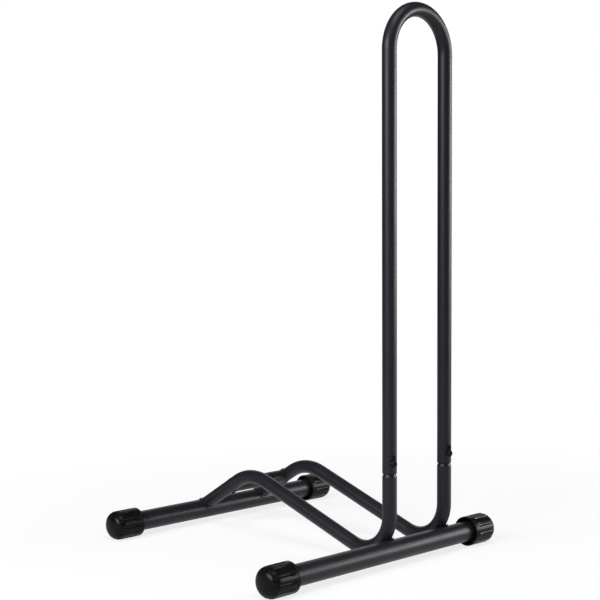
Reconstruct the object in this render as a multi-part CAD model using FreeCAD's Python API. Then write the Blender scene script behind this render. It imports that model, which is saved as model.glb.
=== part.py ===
import FreeCAD, Part
import math
import os

# Floor bike rack: two cross tubes on capped feet, a pair of bent rails that form the wheel
# trough, and a tall hoop that slides down over the swaged tops of the rails.
# Millimetres. X runs along the cross tubes with X = 0 midway between the rails, Y runs from
# the front cross tube to the rear one, Z is up from the floor.

V = FreeCAD.Vector
X_AXIS = V(1, 0, 0)
Y_AXIS = V(0, 1, 0)
Z_AXIS = V(0, 0, 1)

# ---- tubes ----
cross_tube_d = 23.0
cross_tube_wall = 1.5
rail_tube_d = 16.0
rail_tube_wall = 1.5
crossbar_d = 16.0
crossbar_wall = 1.5

# ---- plan of the rack ----
rail_pitch = 92.0              # between the centrelines of the two rails
cross_tube_spacing = 311.5     # front cross tube to rear cross tube
cross_tube_length = 357.8      # over both end caps
front_tube_offset = -59.8      # middle of the front cross tube, from the middle of the rails
rear_tube_offset = -12.2       # middle of the rear cross tube, from the middle of the rails

# ---- side view of a rail ----
upright_y = 3.5                # centreline of the uprights behind the front tube's centre
front_bend_r = 41.0
front_saddle_depth = 2.1       # how far the front tube sinks into the notched rail
hump_from_rear = 85.5          # where the two straights of the hump would meet, ahead of the rear tube
hump_corner_rise = 57.0        # the same corner above the cross tubes' centres
hump_bend_r = 58.0
rear_leg_rise = 3.8            # the rear leg's centreline passes this far over the rear tube's
crossbar_from_rear = 48.7      # crossbar centre ahead of the rear cross tube's centre

# ---- hoop and the swaged joint ----
overall_height = 610.0
joint_rise = 83.6              # hoop's lower ends above the cross tubes' centres
shoulder_height = 3.0          # conical shoulder rolled into the rail below the joint
shoulder_step = 1.1            # how much the shoulder narrows
hoop_end_bevel = 0.8           # eased outer edge of the hoop's lower ends
spigot_length = 45.0
spigot_lead = 2.0              # tapered tip of the spigot
spigot_lead_taper = 0.8
spigot_clearance = 0.05        # radial, spigot in the hoop
spigot_wall = 1.5
hoop_seat_gap = 0.02

# ---- thumb screws ----
screw_rise = 12.2              # screw axis above the hoop's lower ends
left_screw_turn = 22.0         # degrees, the screw points this far round from straight ahead
right_screw_turn = 16.0
stud_d = 3.9
stud_clearance = 0.05          # radial, stud in its nut
stud_hole_clearance = 0.25     # radial, stud in the hoop's wall
stud_tip_gap = 0.15            # stud tip to spigot
stud_grip = 1.1                # how far the stud is moulded into the head
moulded_gap = 0.02             # stud to its moulded head
nut_across_flats = 6.0
nut_height = 2.4
nut_edge_bevel = 0.5
head_d = 7.3
head_height = 1.6
head_dome = 0.7
head_gap = 0.05                # head to nut
tab_rise = 9.4                 # top of the tab above the screw axis
tab_thickness = 1.4
tab_depth = 4.4                # along the screw axis
tab_overhang = 1.0             # how far the tab stands past the head's face
tab_corner_r = 1.4
tab_nut_gap = 0.35             # the tab's back edge over the nut

# ---- end caps ----
cap_d = 33.6
cap_length = 38.5
cap_wall = 2.7
cap_edge_r = 10.0              # rounding of the closed end
cap_crown_r = 40.0             # radius of the closed end's crowned face
cap_end_wall = 4.0
cap_rim_wall = 1.7             # wall left at the flared mouth
cap_mouth_flare = 6.0          # length of the flare
cap_rim_bevel = 0.6
cap_floor_bevel = 6.0          # inside, where the wall meets the floor
cap_sleeve_wall = 1.4
cap_sleeve_setback = 7.0       # sleeve's mouth behind the rim
cap_sleeve_gap = 0.05          # radial, cross tube in the sleeve
cap_stop_gap = 0.3             # cross tube's end to the cap's floor
cap_web_count = 6
cap_web_thickness = 1.3
cap_web_setback = 10.0
flute_count = 12
flute_width = 3.0
flute_depth = 1.0
flute_collar = 6.0             # plain band between the rim and the flutes
flute_runout = 2.4             # plain stretch at the closed end

# ---- weld beads ----
weld_size = 1.6
cope_tip_trim = 2.0            # the sharp tips of the coped crossbar are cut back this much

# ---- derived ----
cross_r = cross_tube_d / 2
rail_r = rail_tube_d / 2
rail_bore_r = rail_r - rail_tube_wall
bar_r = crossbar_d / 2
cap_r = cap_d / 2
axis_z = cap_r                 # the cross tubes' centres over the floor
rear_y = cross_tube_spacing
half_pitch = rail_pitch / 2
joint_z = axis_z + joint_rise
hoop_axis_top = overall_height - rail_r
spigot_r = rail_bore_r - spigot_clearance
screw_z = joint_z + screw_rise
sides = {"left": -1, "right": 1}


# ---- rail centreline in the Y-Z plane ----
def tangent_point(corner, centre, radius, side):
    """Where a line from corner touches a circle; side +1 or -1 picks the line."""
    dy = corner[0] - centre[0]
    dz = corner[1] - centre[1]
    reach = math.hypot(dy, dz)
    angle = math.atan2(dz, dy) + side * math.acos(radius / reach)
    return (centre[0] + radius * math.cos(angle), centre[1] + radius * math.sin(angle))


front_seat_distance = rail_r + cross_r - front_saddle_depth
bend_centre_y = upright_y + front_bend_r
bend_centre_z = axis_z + math.sqrt((front_bend_r + front_seat_distance) ** 2 - bend_centre_y ** 2)
bend_centre = (bend_centre_y, bend_centre_z)
hump_corner = (rear_y - hump_from_rear, axis_z + hump_corner_rise)
slope_start = tangent_point(hump_corner, bend_centre, front_bend_r, -1)
leg_end = tangent_point(hump_corner, (rear_y, axis_z), rear_leg_rise, -1)


def unit(a, b):
    """Unit direction in the Y-Z plane from a to b, and the distance."""
    length = math.hypot(b[0] - a[0], b[1] - a[1])
    return ((b[0] - a[0]) / length, (b[1] - a[1]) / length, length)


slope_dir = unit(slope_start, hump_corner)
leg_dir = unit(hump_corner, leg_end)
slope_angle = math.atan2(slope_dir[1], slope_dir[0])
leg_angle = math.atan2(leg_dir[1], leg_dir[0])
hump_turn = slope_angle - leg_angle
hump_tangent = hump_bend_r * math.tan(hump_turn / 2)
slope_end = (hump_corner[0] - slope_dir[0] * hump_tangent, hump_corner[1] - slope_dir[1] * hump_tangent)
leg_start = (hump_corner[0] + leg_dir[0] * hump_tangent, hump_corner[1] + leg_dir[1] * hump_tangent)
hump_centre = (
    slope_end[0] + slope_dir[1] * hump_bend_r,
    slope_end[1] - slope_dir[0] * hump_bend_r,
)
front_turn = math.pi / 2 + slope_angle
crossbar_y = rear_y - crossbar_from_rear
crossbar_z = leg_start[1] + (crossbar_y - leg_start[0]) * leg_dir[1] / leg_dir[0]


# ---- shape helpers ----
def point(x, yz):
    return V(x, yz[0], yz[1])


def ring_face(centre, direction, outer_r, inner_r=0.0):
    """Flat disc, or a flat ring where inner_r is given."""
    radii = [r for r in (outer_r, inner_r) if r > 0]
    circles = [Part.Wire(Part.makeCircle(r, centre, direction)) for r in radii]
    return Part.makeFace(circles, "Part::FaceMakerBullseye")


def straight(a, b, outer_r, inner_r=0.0):
    """Straight rod or tube from a to b."""
    run = b - a
    return ring_face(a, run, outer_r, inner_r).extrude(run)


def bend(start, direction, centre, axis, turn, outer_r, inner_r=0.0):
    """Bent rod or tube that starts at start, heading in direction, and turns about centre."""
    face = ring_face(start, direction, outer_r, inner_r)
    return face.revolve(centre, axis, math.degrees(turn))


def joined(pieces):
    """One solid from pieces that meet end to end."""
    whole = pieces[0].multiFuse(pieces[1:])
    return whole.removeSplitter()


def one_solid(shape):
    """The single solid inside a boolean's result."""
    solids = sorted(shape.Solids, key=lambda s: s.Volume)
    return solids[-1]


def save(name, shape):
    shape.exportStep("parts/" + name + ".step")
    print(name, len(shape.Solids), round(shape.Volume, 1), shape.isValid())


# ---- rails ----
def rail_run(x, outer_r, inner_r=0.0, top_z=None):
    """A rail's run from the rear cross tube over the hump and up its upright, uncoped."""
    top = joint_z - shoulder_height if top_z is None else top_z
    leg = straight(point(x, leg_end), point(x, leg_start), outer_r, inner_r)
    hump = bend(point(x, slope_end), V(0, slope_dir[0], slope_dir[1]), point(x, hump_centre),
                X_AXIS * -1, hump_turn, outer_r, inner_r)
    slope = straight(point(x, slope_start), point(x, slope_end), outer_r, inner_r)
    front = bend(V(x, upright_y, bend_centre_z), Z_AXIS * -1, point(x, bend_centre),
                 X_AXIS, front_turn, outer_r, inner_r)
    upright = straight(V(x, upright_y, bend_centre_z), V(x, upright_y, top), outer_r, inner_r)
    return [leg, hump, slope, front, upright]


def turned(x, y, profile):
    """Solid turned about the vertical line at x, y from (radius, height) corners."""
    corners = [V(x + r, y, z) for r, z in profile]
    face = Part.Face(Part.makePolygon(corners + corners[:1]))
    return face.revolve(V(x, y, 0), Z_AXIS, 360)


def swaged_top(x):
    """Conical shoulder and reduced spigot at the top of an upright."""
    neck_r = rail_r - shoulder_step
    bore_r = spigot_r - spigot_wall
    base = joint_z - shoulder_height
    top = joint_z + spigot_length
    return turned(x, upright_y, [
        (rail_bore_r, base),
        (rail_r, base),
        (neck_r, joint_z),
        (spigot_r, joint_z),
        (spigot_r, top - spigot_lead),
        (spigot_r - spigot_lead_taper, top),
        (bore_r, top),
        (bore_r, joint_z),
    ])


def make_rail(x):
    tube = joined(rail_run(x, rail_r, rail_bore_r) + [swaged_top(x)])
    return one_solid(tube.cut(cross_rod("front", cross_r)).cut(cross_rod("rear", cross_r)))


# ---- cross tubes ----
def tube_span(which):
    """X of the two outer cap ends of the front or rear cross tube."""
    middle = front_tube_offset if which == "front" else rear_tube_offset
    return (middle - cross_tube_length / 2, middle + cross_tube_length / 2)


def tube_y(which):
    return 0.0 if which == "front" else rear_y


def cross_rod(which, radius, inner_r=0.0):
    """Plain rod or tube where a cross tube lies, between the floors of its caps."""
    low, high = tube_span(which)
    inset = cap_end_wall + cap_stop_gap
    a = V(low + inset, tube_y(which), axis_z)
    b = V(high - inset, tube_y(which), axis_z)
    return straight(a, b, radius, inner_r)


def make_cross_tube(which):
    return cross_rod(which, cross_r, cross_r - cross_tube_wall)


# ---- crossbar ----
def bar_rod(radius, inner_r=0.0):
    reach = half_pitch - cope_tip_trim
    a = V(-reach, crossbar_y, crossbar_z)
    b = V(reach, crossbar_y, crossbar_z)
    return straight(a, b, radius, inner_r)


def leg_rod(x, radius):
    """Filled rod along a rail's rear leg."""
    return straight(point(x, leg_end), point(x, leg_start), radius)


def make_crossbar():
    bar = bar_rod(bar_r, bar_r - crossbar_wall)
    for side in sides.values():
        bar = bar.cut(leg_rod(side * half_pitch, rail_r))
    return one_solid(bar)


# ---- weld beads ----
def bead(rod_a, rod_b, grown_a, grown_b):
    """Bead in the corner where two tubes meet: where both grown rods overlap, less the rods."""
    return grown_a.common(grown_b).cut(rod_a).cut(rod_b)


def make_front_weld(x):
    """Bead round the saddle where the front bend sits on the front cross tube."""
    bent = bend(V(x, upright_y, bend_centre_z), Z_AXIS * -1, point(x, bend_centre), X_AXIS,
                front_turn, rail_r)
    to_bend = unit((0, axis_z), bend_centre)
    along = V(0, -to_bend[1], to_bend[0]) * rail_tube_d
    saddle = V(x, to_bend[0] * front_seat_distance, axis_z + to_bend[1] * front_seat_distance)
    grown = straight(saddle - along, saddle + along, rail_r + weld_size)
    return bead(bent, cross_rod("front", cross_r), grown, cross_rod("front", cross_r + weld_size))


def make_rear_weld(x):
    return bead(leg_rod(x, rail_r), cross_rod("rear", cross_r),
                leg_rod(x, rail_r + weld_size), cross_rod("rear", cross_r + weld_size))


def make_bar_weld(x):
    side = 1 if x > 0 else -1
    reach = half_pitch - cope_tip_trim
    a = V(0, crossbar_y, crossbar_z)
    b = V(side * reach, crossbar_y, crossbar_z)
    return bead(leg_rod(x, rail_r), straight(a, b, bar_r),
                leg_rod(x, rail_r + weld_size), straight(a, b, bar_r + weld_size))


# ---- hoop ----
def screw_dir(x):
    """Direction in which the screw at x points, away from its upright."""
    turn = math.radians(left_screw_turn if x < 0 else right_screw_turn)
    return V(-math.sin(turn), -math.cos(turn), 0)


def along_screw(x, reach, rise=0.0):
    """Point on a screw's axis, reach out from the upright's centre, lifted by rise."""
    return V(x, upright_y, screw_z + rise) + screw_dir(x) * reach


def hoop_end(x):
    """Lowest stretch of a hoop leg, with its eased outer edge."""
    base = joint_z + hoop_seat_gap
    return turned(x, upright_y, [
        (rail_bore_r, base),
        (rail_r - hoop_end_bevel, base),
        (rail_r, base + hoop_end_bevel),
        (rail_bore_r, base + hoop_end_bevel),
    ])


def make_hoop():
    """Two straight legs joined by a half-round arch, bored for the spigots and the studs."""
    arch_z = hoop_axis_top - half_pitch
    leg_base = joint_z + hoop_seat_gap + hoop_end_bevel
    pieces = []
    for side in sides.values():
        x = side * half_pitch
        pieces.append(hoop_end(x))
        pieces.append(straight(V(x, upright_y, leg_base), V(x, upright_y, arch_z), rail_r, rail_bore_r))
    pieces.append(bend(V(half_pitch, upright_y, arch_z), Z_AXIS, V(0, upright_y, arch_z),
                       Y_AXIS * -1, math.pi, rail_r, rail_bore_r))
    hoop = joined(pieces)
    hole_r = stud_d / 2 + stud_hole_clearance
    for side in sides.values():
        x = side * half_pitch
        hoop = hoop.cut(straight(along_screw(x, 0), along_screw(x, rail_r * 2), hole_r))
    return one_solid(hoop)


# ---- thumb screws ----
def nut_face_reach():
    return rail_r + nut_height


def make_nut(x):
    """Hexagon nut welded to the hoop: its back is hollowed to sit on the round tube."""
    corner_r = nut_across_flats / 2 / math.cos(math.pi / 6)
    side_dir = screw_dir(x).cross(Z_AXIS)
    base = along_screw(x, rail_bore_r)
    corners = []
    for k in range(6):
        turn = math.pi / 2 + k * math.pi / 3
        corners.append(base + side_dir * (corner_r * math.cos(turn)) + Z_AXIS * (corner_r * math.sin(turn)))
    prism = Part.Face(Part.makePolygon(corners + corners[:1])).extrude(
        screw_dir(x) * (nut_face_reach() - rail_bore_r))
    # the bevelled face is what a cone leaves of the corners
    flank = nut_height + rail_r - rail_bore_r
    blank = Part.makeCone(corner_r + flank - nut_edge_bevel, corner_r - nut_edge_bevel, flank,
                          base, screw_dir(x))
    prism = prism.common(blank)
    tube = straight(V(x, upright_y, joint_z), V(x, upright_y, screw_z + rail_tube_d), rail_r)
    bore = straight(along_screw(x, 0), along_screw(x, rail_tube_d * 2), stud_d / 2 + stud_clearance)
    return one_solid(prism.cut(tube).cut(bore))


def make_stud(x):
    """Threaded shank: its tip stops just short of the spigot."""
    return straight(along_screw(x, spigot_r + stud_tip_gap),
                    along_screw(x, nut_face_reach() + head_gap + stud_grip), stud_d / 2)


def make_head(x):
    """Moulded head: a small domed disc with one upright tab to turn it by."""
    back = nut_face_reach() + head_gap
    front = back + head_height
    r = head_d / 2
    disc = straight(along_screw(x, back), along_screw(x, front - head_dome), r)
    dome = Part.makeCone(r, r - head_dome, head_dome, along_screw(x, front - head_dome), screw_dir(x))
    nut_top = nut_across_flats / 2 / math.cos(math.pi / 6)
    outer = front + tab_overhang
    inner = outer - tab_depth
    step = nut_top + tab_nut_gap
    round_in = tab_corner_r
    knee = round_in * (1 - math.sqrt(0.5))
    top = tab_rise
    corners = [
        along_screw(x, inner + round_in, top),
        along_screw(x, inner + knee, top - knee),
        along_screw(x, inner, top - round_in),
        along_screw(x, inner, step),
        along_screw(x, back, step),
        along_screw(x, back),
        along_screw(x, front),
        along_screw(x, outer, step),
        along_screw(x, outer, top - round_in),
        along_screw(x, outer - knee, top - knee),
        along_screw(x, outer - round_in, top),
    ]
    outline = [Part.makeLine(a, b) for a, b in zip(corners[2:8], corners[3:9])]
    outline.append(Part.Arc(*corners[8:11]).toShape())
    outline.append(Part.makeLine(corners[10], corners[0]))
    outline.append(Part.Arc(*corners[0:3]).toShape())
    side_dir = screw_dir(x).cross(Z_AXIS)
    tab = Part.Face(Part.Wire(outline)).extrude(side_dir * tab_thickness)
    tab.translate(side_dir * (-tab_thickness / 2))
    head = joined([disc, dome, tab])
    socket = straight(along_screw(x, 0), along_screw(x, back + stud_grip + moulded_gap),
                      stud_d / 2 + moulded_gap)
    return one_solid(head.cut(socket))


# ---- end caps, modelled along +X with the closed end at X = 0 and the mouth at cap_length ----
def arc(centre, radius, start, end):
    """Arc in the X-Y plane between two angles."""
    spots = [V(centre.x + radius * math.cos(t), centre.y + radius * math.sin(t), 0)
             for t in (start, (start + end) / 2, end)]
    return Part.Arc(*spots).toShape()


def end_arcs(shrink):
    """Crowned face and rounded edge of the closed end, moved inwards by shrink."""
    edge_y = cap_r - cap_edge_r
    reach = cap_crown_r - cap_edge_r
    meet = math.pi - math.asin(edge_y / reach)
    crown_centre = V(cap_crown_r, 0, 0)
    edge_centre = V(cap_crown_r + reach * math.cos(meet), edge_y, 0)
    return [
        arc(crown_centre, cap_crown_r - shrink, math.pi, meet),
        arc(edge_centre, cap_edge_r - shrink, meet, math.pi / 2),
    ]


def turned_cap(edges):
    """Solid turned about the X axis from a chain of edges that starts and ends on the axis."""
    tip = edges[0].Vertexes[0].Point
    last = edges[-1].Vertexes[-1].Point
    return Part.Face(Part.Wire(edges + [Part.makeLine(last, tip)])).revolve(V(0, 0, 0), X_AXIS, 360)


def cap_body(shrink):
    """Solid of the cap's outside, moved inwards by shrink and cut off square at the mouth."""
    arcs = end_arcs(shrink)
    side = arcs[-1].Vertexes[-1].Point
    corner = V(cap_length, side.y, 0)
    return turned_cap(arcs + [
        Part.makeLine(side, corner),
        Part.makeLine(corner, V(cap_length, 0, 0)),
    ])


def cap_shell():
    """The cap's wall with its eased rim, flared mouth and thick closed end."""
    arcs = end_arcs(0)
    side = arcs[-1].Vertexes[-1].Point
    bore_r = cap_r - cap_wall
    corners = [
        side,
        V(cap_length - cap_rim_bevel, cap_r, 0),
        V(cap_length, cap_r - cap_rim_bevel, 0),
        V(cap_length, cap_r - cap_rim_wall, 0),
        V(cap_length - cap_mouth_flare, bore_r, 0),
        V(cap_end_wall + cap_floor_bevel, bore_r, 0),
        V(cap_end_wall, bore_r - cap_floor_bevel, 0),
        V(cap_end_wall, 0, 0),
    ]
    return turned_cap(arcs + [Part.makeLine(a, b) for a, b in zip(corners, corners[1:])])


def flute_cutter():
    """Bar that cuts the top flute: its underside runs along the side and down the rounded end."""
    edge_arc = end_arcs(flute_depth)[1]
    inner = edge_arc.Vertexes[0].Point
    side = edge_arc.Vertexes[-1].Point
    over_y = cap_r + flute_depth
    far = cap_length - flute_collar
    corners = [side, V(far, side.y, 0), V(far, over_y, 0), V(inner.x - flute_depth, over_y, 0),
               V(inner.x - flute_depth, inner.y, 0), inner]
    outline = [edge_arc] + [Part.makeLine(a, b) for a, b in zip(corners, corners[1:])]
    bar = Part.Face(Part.Wire(outline)).extrude(V(0, 0, flute_width))
    bar.translate(V(0, 0, -flute_width / 2))
    end_block = Part.makeBox(cap_length, cap_d, cap_d, V(flute_runout, 0, -cap_r))
    return bar.common(end_block)


def radial_slabs(count, thickness, low, high):
    """Flat plates through the axis, one for each pair of opposite places."""
    slabs = []
    for k in range(count // 2):
        slab = Part.makeBox(high - low, cap_d, thickness, V(low, -cap_r, -thickness / 2))
        slab.rotate(V(0, 0, 0), X_AXIS, k * 360.0 / count)
        slabs.append(slab)
    return slabs[0].multiFuse(slabs[1:])


def make_cap_master():
    """Moulded cap: fluted shell with a flared mouth, an inner sleeve on webs and a thick end."""
    socket_r = cross_r + cap_sleeve_gap
    root_x = cap_end_wall - cap_wall / 2
    root_r = cap_r - cap_wall / 2
    web_top = cap_length - cap_web_setback
    webs = radial_slabs(cap_web_count, cap_web_thickness, root_x, web_top)
    webs = webs.common(straight(V(root_x, 0, 0), V(cap_length, 0, 0), root_r))
    webs = webs.common(cap_body(cap_wall / 2))
    sleeve_top = cap_length - cap_sleeve_setback
    sleeve = straight(V(root_x, 0, 0), V(sleeve_top, 0, 0), socket_r + cap_sleeve_wall)
    socket = straight(V(cap_end_wall, 0, 0), V(cap_length, 0, 0), socket_r)
    cap = cap_shell().fuse(webs).fuse(sleeve).cut(socket).removeSplitter()
    cutter = flute_cutter()
    for k in range(flute_count):
        turned_cutter = cutter.copy()
        turned_cutter.rotate(V(0, 0, 0), X_AXIS, k * 360.0 / flute_count)
        cap = cap.cut(turned_cutter)
    return one_solid(cap)


def place_cap(master, which, side):
    """Cap with its closed end outwards on the left or right end of a cross tube."""
    cap = master.copy()
    low, high = tube_span(which)
    if side > 0:
        cap.rotate(V(0, 0, 0), Z_AXIS, 180)
    cap.translate(V(high if side > 0 else low, tube_y(which), axis_z))
    return cap


# ---- build ----
os.makedirs("parts", exist_ok=True)

for which in ("front", "rear"):
    save(which + "_cross_tube", make_cross_tube(which))

for name, side in sides.items():
    save(name + "_rail", make_rail(side * half_pitch))
    save("front_" + name + "_weld", make_front_weld(side * half_pitch))
    save("rear_" + name + "_weld", make_rear_weld(side * half_pitch))
    save("crossbar_" + name + "_weld", make_bar_weld(side * half_pitch))

save("rail_crossbar", make_crossbar())
save("hoop", make_hoop())

for name, side in sides.items():
    save(name + "_weld_nut", make_nut(side * half_pitch))
    save(name + "_screw_stud", make_stud(side * half_pitch))
    save(name + "_screw_head", make_head(side * half_pitch))

cap_master = make_cap_master()
for which in ("front", "rear"):
    for name, side in sides.items():
        save(which + "_" + name + "_end_cap", place_cap(cap_master, which, side))
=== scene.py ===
import math

import bmesh
import bpy
from mathutils import Matrix, Vector


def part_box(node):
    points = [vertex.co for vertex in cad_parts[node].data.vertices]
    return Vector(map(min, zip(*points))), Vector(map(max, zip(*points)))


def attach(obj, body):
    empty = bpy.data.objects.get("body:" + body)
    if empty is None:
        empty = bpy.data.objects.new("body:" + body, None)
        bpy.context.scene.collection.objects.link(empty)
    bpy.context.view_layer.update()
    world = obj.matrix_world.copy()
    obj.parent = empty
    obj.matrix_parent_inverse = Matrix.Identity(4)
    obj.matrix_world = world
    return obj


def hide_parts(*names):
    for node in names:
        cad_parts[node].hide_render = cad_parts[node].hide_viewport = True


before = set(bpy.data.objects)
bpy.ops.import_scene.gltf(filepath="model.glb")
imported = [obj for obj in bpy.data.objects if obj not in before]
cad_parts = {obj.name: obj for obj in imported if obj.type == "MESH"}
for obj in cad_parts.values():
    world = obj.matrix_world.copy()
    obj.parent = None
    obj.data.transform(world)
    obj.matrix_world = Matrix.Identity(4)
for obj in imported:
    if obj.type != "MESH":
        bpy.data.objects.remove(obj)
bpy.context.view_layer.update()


# ---- Cross tubes -------------------------------------------------------------------------
# Plain steel tubes that carry the rack on the floor. Sawn square, welded to the rails and
# then powder coated with them, in a fine-grained charcoal with a satin sheen.

coat_charcoal = (0.0068, 0.0064, 0.0096, 1.0)
coat_charcoal_pale = (0.0100, 0.0096, 0.0135, 1.0)
coat_roughness = (0.34, 0.42)
coat_refraction = 1.28
coat_grain_size = 0.0009
coat_grain_detail = 3.0
coat_grain_harshness = 0.6
coat_grain_height = 0.00006
coat_cloud_size = 0.030
cloud_detail = 2.0
cloud_harshness = 0.5
noise_usual_low = 0.3
noise_usual_high = 0.7


def link(material, source, target):
    material.node_tree.links.new(source, target)


def noise_layer(material, size, detail, harshness):
    """Noise over the object's own coordinates, with features of about size metres."""
    nodes = material.node_tree.nodes
    place = nodes.new("ShaderNodeTexCoord")
    noise = nodes.new("ShaderNodeTexNoise")
    noise.inputs["Scale"].default_value = 1.0 / size
    noise.inputs["Detail"].default_value = detail
    noise.inputs["Roughness"].default_value = harshness
    link(material, place.outputs["Object"], noise.inputs["Vector"])
    return noise.outputs["Fac"]


def spread(material, value, low, high):
    """A noise value, stretched so that its usual range runs from low to high."""
    nodes = material.node_tree.nodes
    ramp = nodes.new("ShaderNodeMapRange")
    ramp.inputs["From Min"].default_value = noise_usual_low
    ramp.inputs["From Max"].default_value = noise_usual_high
    ramp.inputs["To Min"].default_value = low
    ramp.inputs["To Max"].default_value = high
    link(material, value, ramp.inputs["Value"])
    return ramp.outputs["Result"]


def bump(material, height, distance):
    """Surface normals for a height value of 0 to 1, with distance metres as its full height."""
    node = material.node_tree.nodes.new("ShaderNodeBump")
    node.inputs["Distance"].default_value = distance
    node.inputs["Strength"].default_value = 1.0
    link(material, height, node.inputs["Height"])
    return node.outputs["Normal"]


def new_material(name):
    material = bpy.data.materials.new(name)
    material.use_nodes = True
    return material, material.node_tree.nodes["Principled BSDF"]


def two_tone(material, value, dark, pale):
    """Blend of two colours: dark where the value is 0, pale where it is 1."""
    mix = material.node_tree.nodes.new("ShaderNodeMix")
    mix.data_type = "RGBA"
    link(material, value, mix.inputs["Factor"])
    colour_a, colour_b = [socket for socket in mix.inputs if socket.type == "RGBA"]
    colour_a.default_value = dark
    colour_b.default_value = pale
    return [socket for socket in mix.outputs if socket.type == "RGBA"][0]


def powder_coat():
    """Charcoal with paler specks, a fine raised grain and a sheen that varies a little."""
    material, shader = new_material("charcoal_powder_coat")
    grain = noise_layer(material, coat_grain_size, coat_grain_detail, coat_grain_harshness)
    clouds = noise_layer(material, coat_cloud_size, cloud_detail, cloud_harshness)
    speckle = spread(material, grain, 0.0, 1.0)
    link(material, two_tone(material, speckle, coat_charcoal, coat_charcoal_pale),
         shader.inputs["Base Color"])
    link(material, spread(material, clouds, *coat_roughness), shader.inputs["Roughness"])
    link(material, bump(material, grain, coat_grain_height), shader.inputs["Normal"])
    shader.inputs["IOR"].default_value = coat_refraction
    return material


def dress(node_name, material):
    """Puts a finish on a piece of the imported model, whose shape stays as it is."""
    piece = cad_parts[node_name]
    piece.data.materials.clear()
    piece.data.materials.append(material)


coat = powder_coat()
for tube_name in ("front_cross_tube", "rear_cross_tube"):
    dress(tube_name, coat)


# ---- Rails and their crossbar ------------------------------------------------------------
# The wheel stands between these bent steel tubes. Each is coped to the rear cross tube, runs
# over a hump, sits in a notch on the front one and turns up into a swaged spigot. A short
# tube, coped at both ends, ties them together behind the hump.

for tube_name in ("left_rail", "right_rail", "rail_crossbar"):
    dress(tube_name, coat)


# ---- Weld beads --------------------------------------------------------------------------
# Fillets of weld metal in the corners where the rails meet the cross tubes and the crossbar
# meets the rails. They are laid before the coat, so it covers them too.

for weld_name in ("front_left_weld", "front_right_weld", "rear_left_weld", "rear_right_weld",
                  "crossbar_left_weld", "crossbar_right_weld"):
    dress(weld_name, coat)


# ---- Hoop --------------------------------------------------------------------------------
# The tall steel tube that steadies the wheel, bent half round at the top. Its open lower
# ends slide down over the rails' spigots, and it has the same coat.

dress("hoop", coat)


# ---- End caps ----------------------------------------------------------------------------
# Moulded black plastic feet, pushed over the ends of the cross tubes. Round-bottomed flutes
# run from a plain collar over the side and fade out on the domed end. Inside, thin webs hold
# the sleeve that grips the tube.

cap_black = (0.0028, 0.0028, 0.0029, 1.0)
cap_black_worn = (0.0045, 0.0045, 0.0046, 1.0)
cap_roughness = (0.23, 0.30)
cap_refraction = 1.17
cap_grain_size = 0.0006
cap_grain_height = 0.00002
cap_cloud_size = 0.012
cap_crown_r = 0.040
cap_edge_r = 0.010
cap_wall = 0.0027
cap_floor = 0.004
cap_rim_wall = 0.0017
cap_rim_round = 0.0006
cap_flare = 0.006
cap_collar = 0.006
lip_length = 0.0030
lip_line_width = 0.0008
lip_line_depth = 0.0004
lip_line_section = ((-0.5, 0.0), (-0.3, 0.7), (0.0, 1.0), (0.3, 0.7), (0.5, 0.0))
cap_sleeve_bore = 0.01155
cap_sleeve_wall = 0.0014
cap_sleeve_setback = 0.007
cap_web_total = 6
cap_web_setback = 0.010
cap_web_thickness = 0.0013
cap_web_root = 0.0001
flute_total = 12
flute_width = 0.0040
flute_depth = 0.0011
flute_fade_from = 0.85
flute_fade_over = 0.09
columns_in_flute = 10
columns_in_land = 5
rings_on_crown = 10
rings_on_edge = 22
rings_on_side = 3
rings_on_rim = 5
rings_on_inner_edge = 8
cap_crease_angle = math.radians(35)


def cap_plastic():
    """Black moulded plastic with a fine moulded grain, a little paler where it has worn."""
    material, shader = new_material("black_moulded_plastic")
    grain = noise_layer(material, cap_grain_size, cloud_detail, cloud_harshness)
    clouds = noise_layer(material, cap_cloud_size, cloud_detail, cloud_harshness)
    link(material, two_tone(material, spread(material, clouds, 0.0, 1.0), cap_black, cap_black_worn),
         shader.inputs["Base Color"])
    link(material, spread(material, clouds, *cap_roughness), shader.inputs["Roughness"])
    link(material, bump(material, grain, cap_grain_height), shader.inputs["Normal"])
    shader.inputs["IOR"].default_value = cap_refraction
    return material


def arc_points(centre, radius, start, end, steps):
    """Points along an arc in the plane of (distance along the axis, distance from it)."""
    spots = []
    for k in range(steps + 1):
        turn = start + (end - start) * k / steps
        spots.append((centre[0] + radius * math.cos(turn), centre[1] + radius * math.sin(turn)))
    return spots


def cap_outside(length, radius):
    """The cap's outer outline from its tip to the rim, closely spaced where the flutes end."""
    reach = cap_crown_r - cap_edge_r
    meet = math.pi - math.asin((radius - cap_edge_r) / reach)
    edge_centre = (cap_crown_r + reach * math.cos(meet), radius - cap_edge_r)
    outline = arc_points((cap_crown_r, 0.0), cap_crown_r, math.pi, meet, rings_on_crown)
    outline += arc_points(edge_centre, cap_edge_r, meet, math.pi / 2, rings_on_edge)[1:]
    side_start = outline[-1][0]
    round_start = length - cap_collar - flute_width / 2
    for k in range(1, rings_on_side + 1):
        outline.append((side_start + (round_start - side_start) * k / rings_on_side, radius))
    half = columns_in_flute // 2
    for k in range(half - 1, -1, -1):
        outline.append((round_start + flute_width / 2 * math.sqrt(1 - (k / half) ** 2), radius))
    for across, sink in lip_line_section:
        outline.append((length - lip_length + across * lip_line_width, radius - sink * lip_line_depth))
    outline += arc_points((length - cap_rim_round, radius - cap_rim_round), cap_rim_round,
                          math.pi / 2, 0.0, rings_on_rim)
    return outline


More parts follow.
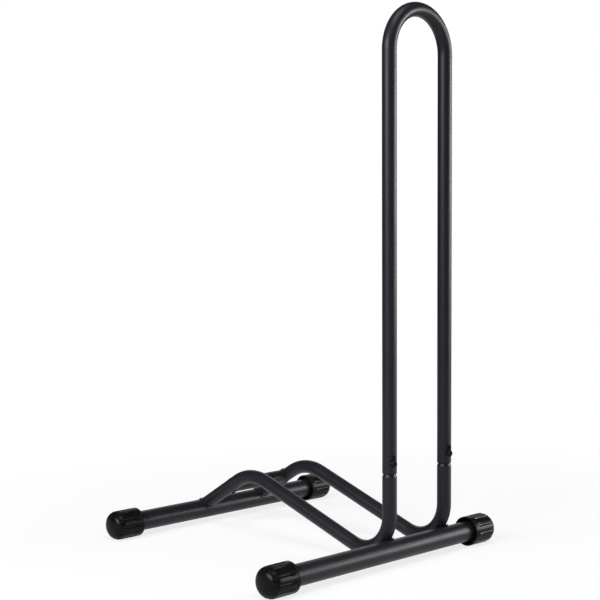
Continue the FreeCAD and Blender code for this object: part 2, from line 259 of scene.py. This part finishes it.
def cap_inside(length, radius):
    """The inner outline, from the mouth down the flare and bore and up round the sleeve."""
    bore = radius - cap_wall
    inner_round = cap_edge_r - cap_wall
    outline = [(length, radius - cap_rim_wall), (length - cap_flare, bore)]
    outline += arc_points((cap_floor + inner_round, bore - inner_round), inner_round,
                          math.pi / 2, math.pi, rings_on_inner_edge)
    outer = cap_sleeve_bore + cap_sleeve_wall
    outline = [spot for spot in outline if spot[1] > outer]
    sleeve_top = length - cap_sleeve_setback
    outline += [(cap_floor, outer), (sleeve_top, outer), (sleeve_top, cap_sleeve_bore),
                (cap_floor, cap_sleeve_bore)]
    return outline


def flute_columns(radius):
    """Angles round the cap: even steps across each flute and across each land."""
    pitch = 2 * math.pi / flute_total
    half = flute_width / 2 / radius
    turns = []
    for flute in range(flute_total):
        for k in range(columns_in_flute):
            turns.append(pitch * flute - half + 2 * half * k / columns_in_flute)
        for k in range(columns_in_land):
            turns.append(pitch * flute + half + (pitch - 2 * half) * k / columns_in_land)
    return turns


def flute_sink(along, off, turn, length, radius):
    """How deep the flutes go at a spot on the outside of a cap."""
    pitch = 2 * math.pi / flute_total
    aside = ((turn + pitch / 2) % pitch - pitch / 2) * radius
    past = max(0.0, along - (length - cap_collar - flute_width / 2))
    away = math.hypot(aside, past)
    if away >= flute_width / 2:
        return 0.0
    groove_r = (flute_width ** 2 / 4 + flute_depth ** 2) / (2 * flute_depth)
    full_depth = math.sqrt(groove_r ** 2 - away ** 2) - groove_r + flute_depth
    fade = max(0.0, min(1.0, (off / radius - flute_fade_from) / flute_fade_over))
    return full_depth * fade * fade * (3 - 2 * fade)


def add_webs(bm, tip, direction, length, radius):
    """Flat webs between the sleeve and the wall, rooted a little into both."""
    inner = cap_sleeve_bore + cap_sleeve_wall - cap_web_root
    outer = radius - cap_wall + cap_web_root
    far = length - cap_web_setback
    for k in range(cap_web_total):
        turn = 2 * math.pi * (k + 0.5) / cap_web_total
        outwards = Vector((0.0, -math.cos(turn), math.sin(turn)))
        across = Vector((0.0, math.sin(turn), math.cos(turn))) * (cap_web_thickness / 2)
        spots = []
        for along in (cap_floor, far):
            start = tip + Vector((direction * along, 0.0, 0.0))
            for off, side in ((inner, -1), (outer, -1), (outer, 1), (inner, 1)):
                spots.append(bm.verts.new(start + outwards * off + across * side))
        for corners in ((0, 1, 2, 3), (4, 5, 6, 7), (0, 1, 5, 4), (1, 2, 6, 5), (2, 3, 7, 6),
                        (3, 0, 4, 7)):
            bm.faces.new([spots[c] for c in corners])


def cap_mesh(name, tip, direction, length, radius):
    """Cap turned about the cross tube's axis, from its tip towards its mouth along direction."""
    turns = flute_columns(radius)
    outside = cap_outside(length, radius)
    outline = outside + cap_inside(length, radius)
    bm = bmesh.new()
    point_at_tip = bm.verts.new(tip)
    rings = []
    for index, (along, off) in enumerate(outline[1:], start=1):
        ring = []
        for turn in turns:
            sink = flute_sink(along, off, turn, length, radius) if index < len(outside) else 0.0
            ring.append(bm.verts.new(tip + Vector((direction * along, -math.cos(turn) * (off - sink),
                                                   math.sin(turn) * (off - sink)))))
        rings.append(ring)
    floor_point = bm.verts.new(tip + Vector((direction * cap_floor, 0.0, 0.0)))
    count = len(turns)
    for k in range(count):
        n = (k + 1) % count
        bm.faces.new((point_at_tip, rings[0][k], rings[0][n]))
        bm.faces.new((floor_point, rings[-1][n], rings[-1][k]))
        for low, high in zip(rings, rings[1:]):
            bm.faces.new((low[k], high[k], high[n], low[n]))
    add_webs(bm, tip, direction, length, radius)
    bmesh.ops.recalc_face_normals(bm, faces=bm.faces)
    mesh = bpy.data.meshes.new(name)
    bm.to_mesh(mesh)
    bm.free()
    for face in mesh.polygons:
        face.use_smooth = True
    mesh.set_sharp_from_angle(angle=cap_crease_angle)
    cap = bpy.data.objects.new(name, mesh)
    bpy.context.scene.collection.objects.link(cap)
    return cap


plastic = cap_plastic()
for which in ("front", "rear"):
    for side, direction in (("left", 1), ("right", -1)):
        node_name = which + "_" + side + "_end_cap"
        low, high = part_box(node_name)
        middle = (low + high) / 2
        tip = Vector((low.x if direction > 0 else high.x, middle.y, middle.z))
        cap = cap_mesh(which + "_" + side + "_fluted_cap", tip, direction,
                       high.x - low.x, (high.z - low.z) / 2)
        cap.data.materials.append(plastic)
        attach(cap, "frame")
        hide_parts(node_name)


# ---- Weld nuts and thumb screws ----------------------------------------------------------
# A black-zinc steel nut is welded to each leg of the hoop. A small thumb screw, a zinc-plated
# stud with a black plastic head moulded on it, runs in the nut.

nut_steel = (0.030, 0.030, 0.032, 1.0)
nut_roughness = (0.35, 0.47)
stud_steel = (0.55, 0.55, 0.56, 1.0)
stud_roughness = (0.30, 0.42)
metal_cloud_size = 0.003
head_black = (0.0030, 0.0030, 0.0031, 1.0)
head_black_worn = (0.0060, 0.0060, 0.0062, 1.0)
head_roughness = (0.22, 0.32)
head_refraction = 1.20
head_cloud_size = 0.002


def metal(name, colour, roughness):
    """Plated steel with a sheen that varies over the piece."""
    material, shader = new_material(name)
    clouds = noise_layer(material, metal_cloud_size, cloud_detail, cloud_harshness)
    shader.inputs["Base Color"].default_value = colour
    shader.inputs["Metallic"].default_value = 1.0
    link(material, spread(material, clouds, *roughness), shader.inputs["Roughness"])
    return material


def head_plastic():
    """Black moulded plastic like the caps', without their grain."""
    material, shader = new_material("black_screw_plastic")
    clouds = noise_layer(material, head_cloud_size, cloud_detail, cloud_harshness)
    link(material, two_tone(material, spread(material, clouds, 0.0, 1.0), head_black, head_black_worn),
         shader.inputs["Base Color"])
    link(material, spread(material, clouds, *head_roughness), shader.inputs["Roughness"])
    shader.inputs["IOR"].default_value = head_refraction
    return material


black_zinc = metal("black_zinc", nut_steel, nut_roughness)
bright_zinc = metal("bright_zinc", stud_steel, stud_roughness)
screw_plastic = head_plastic()
for side in ("left", "right"):
    dress(side + "_weld_nut", black_zinc)
    dress(side + "_screw_stud", bright_zinc)
    dress(side + "_screw_head", screw_plastic)


# ---- Floor and backdrop ------------------------------------------------------------------
# A sheet of plain white paper under the rack that sweeps up behind it. Near the rack it
# shows the soft shadow, and further out it is plain white to the eye.

camera_yaw = math.radians(44.48)
sheet_half_width = 1.05
sheet_front = 2.0
sheet_back = 2.6
sweep_r = 0.5
sheet_top = 1.9
sweep_steps = 12
paper_white = (0.72, 0.72, 0.72, 1.0)
paper_roughness = 0.9
paper_specular = 0.1
plain_white = (1.0, 1.0, 1.0, 1.0)
white_from = 0.35
white_by = 0.80
white_share_near = 0.78


def paper_sweep():
    """Floor and back wall in one sheet, square to the camera's line of sight."""
    outline = [(-sheet_front, 0.0)]
    for k in range(sweep_steps + 1):
        turn = math.pi / 2 * k / sweep_steps
        outline.append((sheet_back - sweep_r + sweep_r * math.sin(turn),
                        sweep_r - sweep_r * math.cos(turn)))
    outline.append((sheet_back, sheet_top))
    bm = bmesh.new()
    rows = [[bm.verts.new((across, back, rise)) for across in (-sheet_half_width, sheet_half_width)]
            for back, rise in outline]
    for low, high in zip(rows, rows[1:]):
        bm.faces.new((low[0], low[1], high[1], high[0]))
    mesh = bpy.data.meshes.new("paper_sweep")
    bm.to_mesh(mesh)
    bm.free()
    for face in mesh.polygons:
        face.use_smooth = True
    sheet = bpy.data.objects.new("paper_sweep", mesh)
    sheet.rotation_euler = (0.0, 0.0, -camera_yaw)
    bpy.context.scene.collection.objects.link(sheet)
    return sheet


def white_paper():
    """Matt white that keeps the shadow near the rack and is plain white away from it."""
    material, shader = new_material("white_paper")
    nodes = material.node_tree.nodes
    shader.inputs["Base Color"].default_value = paper_white
    shader.inputs["Roughness"].default_value = paper_roughness
    shader.inputs["Specular IOR Level"].default_value = paper_specular
    place = nodes.new("ShaderNodeTexCoord")
    distance = nodes.new("ShaderNodeVectorMath")
    distance.operation = "LENGTH"
    link(material, place.outputs["Object"], distance.inputs[0])
    away = nodes.new("ShaderNodeMapRange")
    away.interpolation_type = "SMOOTHSTEP"
    away.inputs["From Min"].default_value = white_from
    away.inputs["From Max"].default_value = white_by
    away.inputs["To Min"].default_value = white_share_near
    link(material, distance.outputs["Value"], away.inputs["Value"])
    path = nodes.new("ShaderNodeLightPath")
    seen = nodes.new("ShaderNodeMath")
    seen.operation = "MAXIMUM"
    link(material, path.outputs["Is Camera Ray"], seen.inputs[0])
    link(material, path.outputs["Is Glossy Ray"], seen.inputs[1])
    seen_through = nodes.new("ShaderNodeMath")
    seen_through.operation = "MAXIMUM"
    link(material, seen.outputs["Value"], seen_through.inputs[0])
    link(material, path.outputs["Is Transmission Ray"], seen_through.inputs[1])
    share = nodes.new("ShaderNodeMath")
    share.operation = "MULTIPLY"
    link(material, seen_through.outputs["Value"], share.inputs[0])
    link(material, away.outputs["Result"], share.inputs[1])
    plain = nodes.new("ShaderNodeEmission")
    plain.inputs["Color"].default_value = plain_white
    plain.inputs["Strength"].default_value = 1.0
    mix = nodes.new("ShaderNodeMixShader")
    link(material, share.outputs["Value"], mix.inputs["Fac"])
    link(material, shader.outputs["BSDF"], mix.inputs[1])
    link(material, plain.outputs["Emission"], mix.inputs[2])
    link(material, mix.outputs["Shader"], nodes["Material Output"].inputs["Surface"])
    return material


sheet = paper_sweep()
sheet.data.materials.append(white_paper())


# ---- Lights ------------------------------------------------------------------------------
# Four soft boxes in a nearly dark room. The left, right and side ones draw the long bright
# stripes on the tubes, and the top one lights the hoop's arch and the paper.

world_strength = 0.06


def soft_lamp(name, place, target, width, height, power):
    """Rectangular soft box at place that faces target, in metres and watts."""
    lamp = bpy.data.lights.new(name, "AREA")
    lamp.shape = "RECTANGLE"
    lamp.size = width
    lamp.size_y = height
    lamp.energy = power
    lamp_object = bpy.data.objects.new(name, lamp)
    lamp_object.location = place
    lamp_object.rotation_euler = (Vector(target) - Vector(place)).to_track_quat("-Z", "Y").to_euler()
    bpy.context.scene.collection.objects.link(lamp_object)


soft_lamp("left_lamp", place=(-2.2, -0.05, 1.12), target=(0.0, 0.1, 0.5), width=1.6, height=1.0, power=80)
soft_lamp("right_lamp", place=(1.55, -1.5, 0.42), target=(0.0, 0.1, 0.4), width=0.9, height=0.6, power=21)
soft_lamp("side_lamp", place=(1.98, -0.92, 0.65), target=(0.0, 0.1, 0.45), width=0.6, height=0.8, power=30)
soft_lamp("top_lamp", place=(-0.4, -0.5, 2.5), target=(0.0, 0.1, 0.2), width=1.5, height=1.5, power=36)

world = bpy.data.worlds.new("studio")
bpy.context.scene.world = world
world.use_nodes = True
surroundings = world.node_tree.nodes["Background"]
surroundings.inputs["Color"].default_value = plain_white
surroundings.inputs["Strength"].default_value = world_strength


# ---- Camera ------------------------------------------------------------------------------
# At the photograph's place and angle, with a long lens. It stands to the front left of the
# rack, at about two thirds of its height, and looks slightly down.

camera_place = Vector((-1.16864, -1.00259, 0.38785))
camera_pitch = math.radians(-3.74)
camera_roll = math.radians(-0.28)
camera_focal_px = 1403.75
picture_px = 600
sensor_mm = 36.0

ahead = Vector((math.sin(camera_yaw) * math.cos(camera_pitch),
                math.cos(camera_yaw) * math.cos(camera_pitch), math.sin(camera_pitch)))
level_right = Vector((math.cos(camera_yaw), -math.sin(camera_yaw), 0.0))
level_up = level_right.cross(ahead)
right = level_right * math.cos(camera_roll) + level_up * math.sin(camera_roll)
up = level_up * math.cos(camera_roll) - level_right * math.sin(camera_roll)
turn = Matrix((right, up, -ahead)).transposed().to_4x4()

lens = bpy.data.cameras.new("photo_camera")
lens.sensor_width = sensor_mm
lens.lens = lens.sensor_width * camera_focal_px / picture_px
camera = bpy.data.objects.new("photo_camera", lens)
camera.matrix_world = Matrix.Translation(camera_place) @ turn
bpy.context.scene.collection.objects.link(camera)
bpy.context.scene.camera = camera
bpy.context.scene.view_settings.view_transform = "Standard"
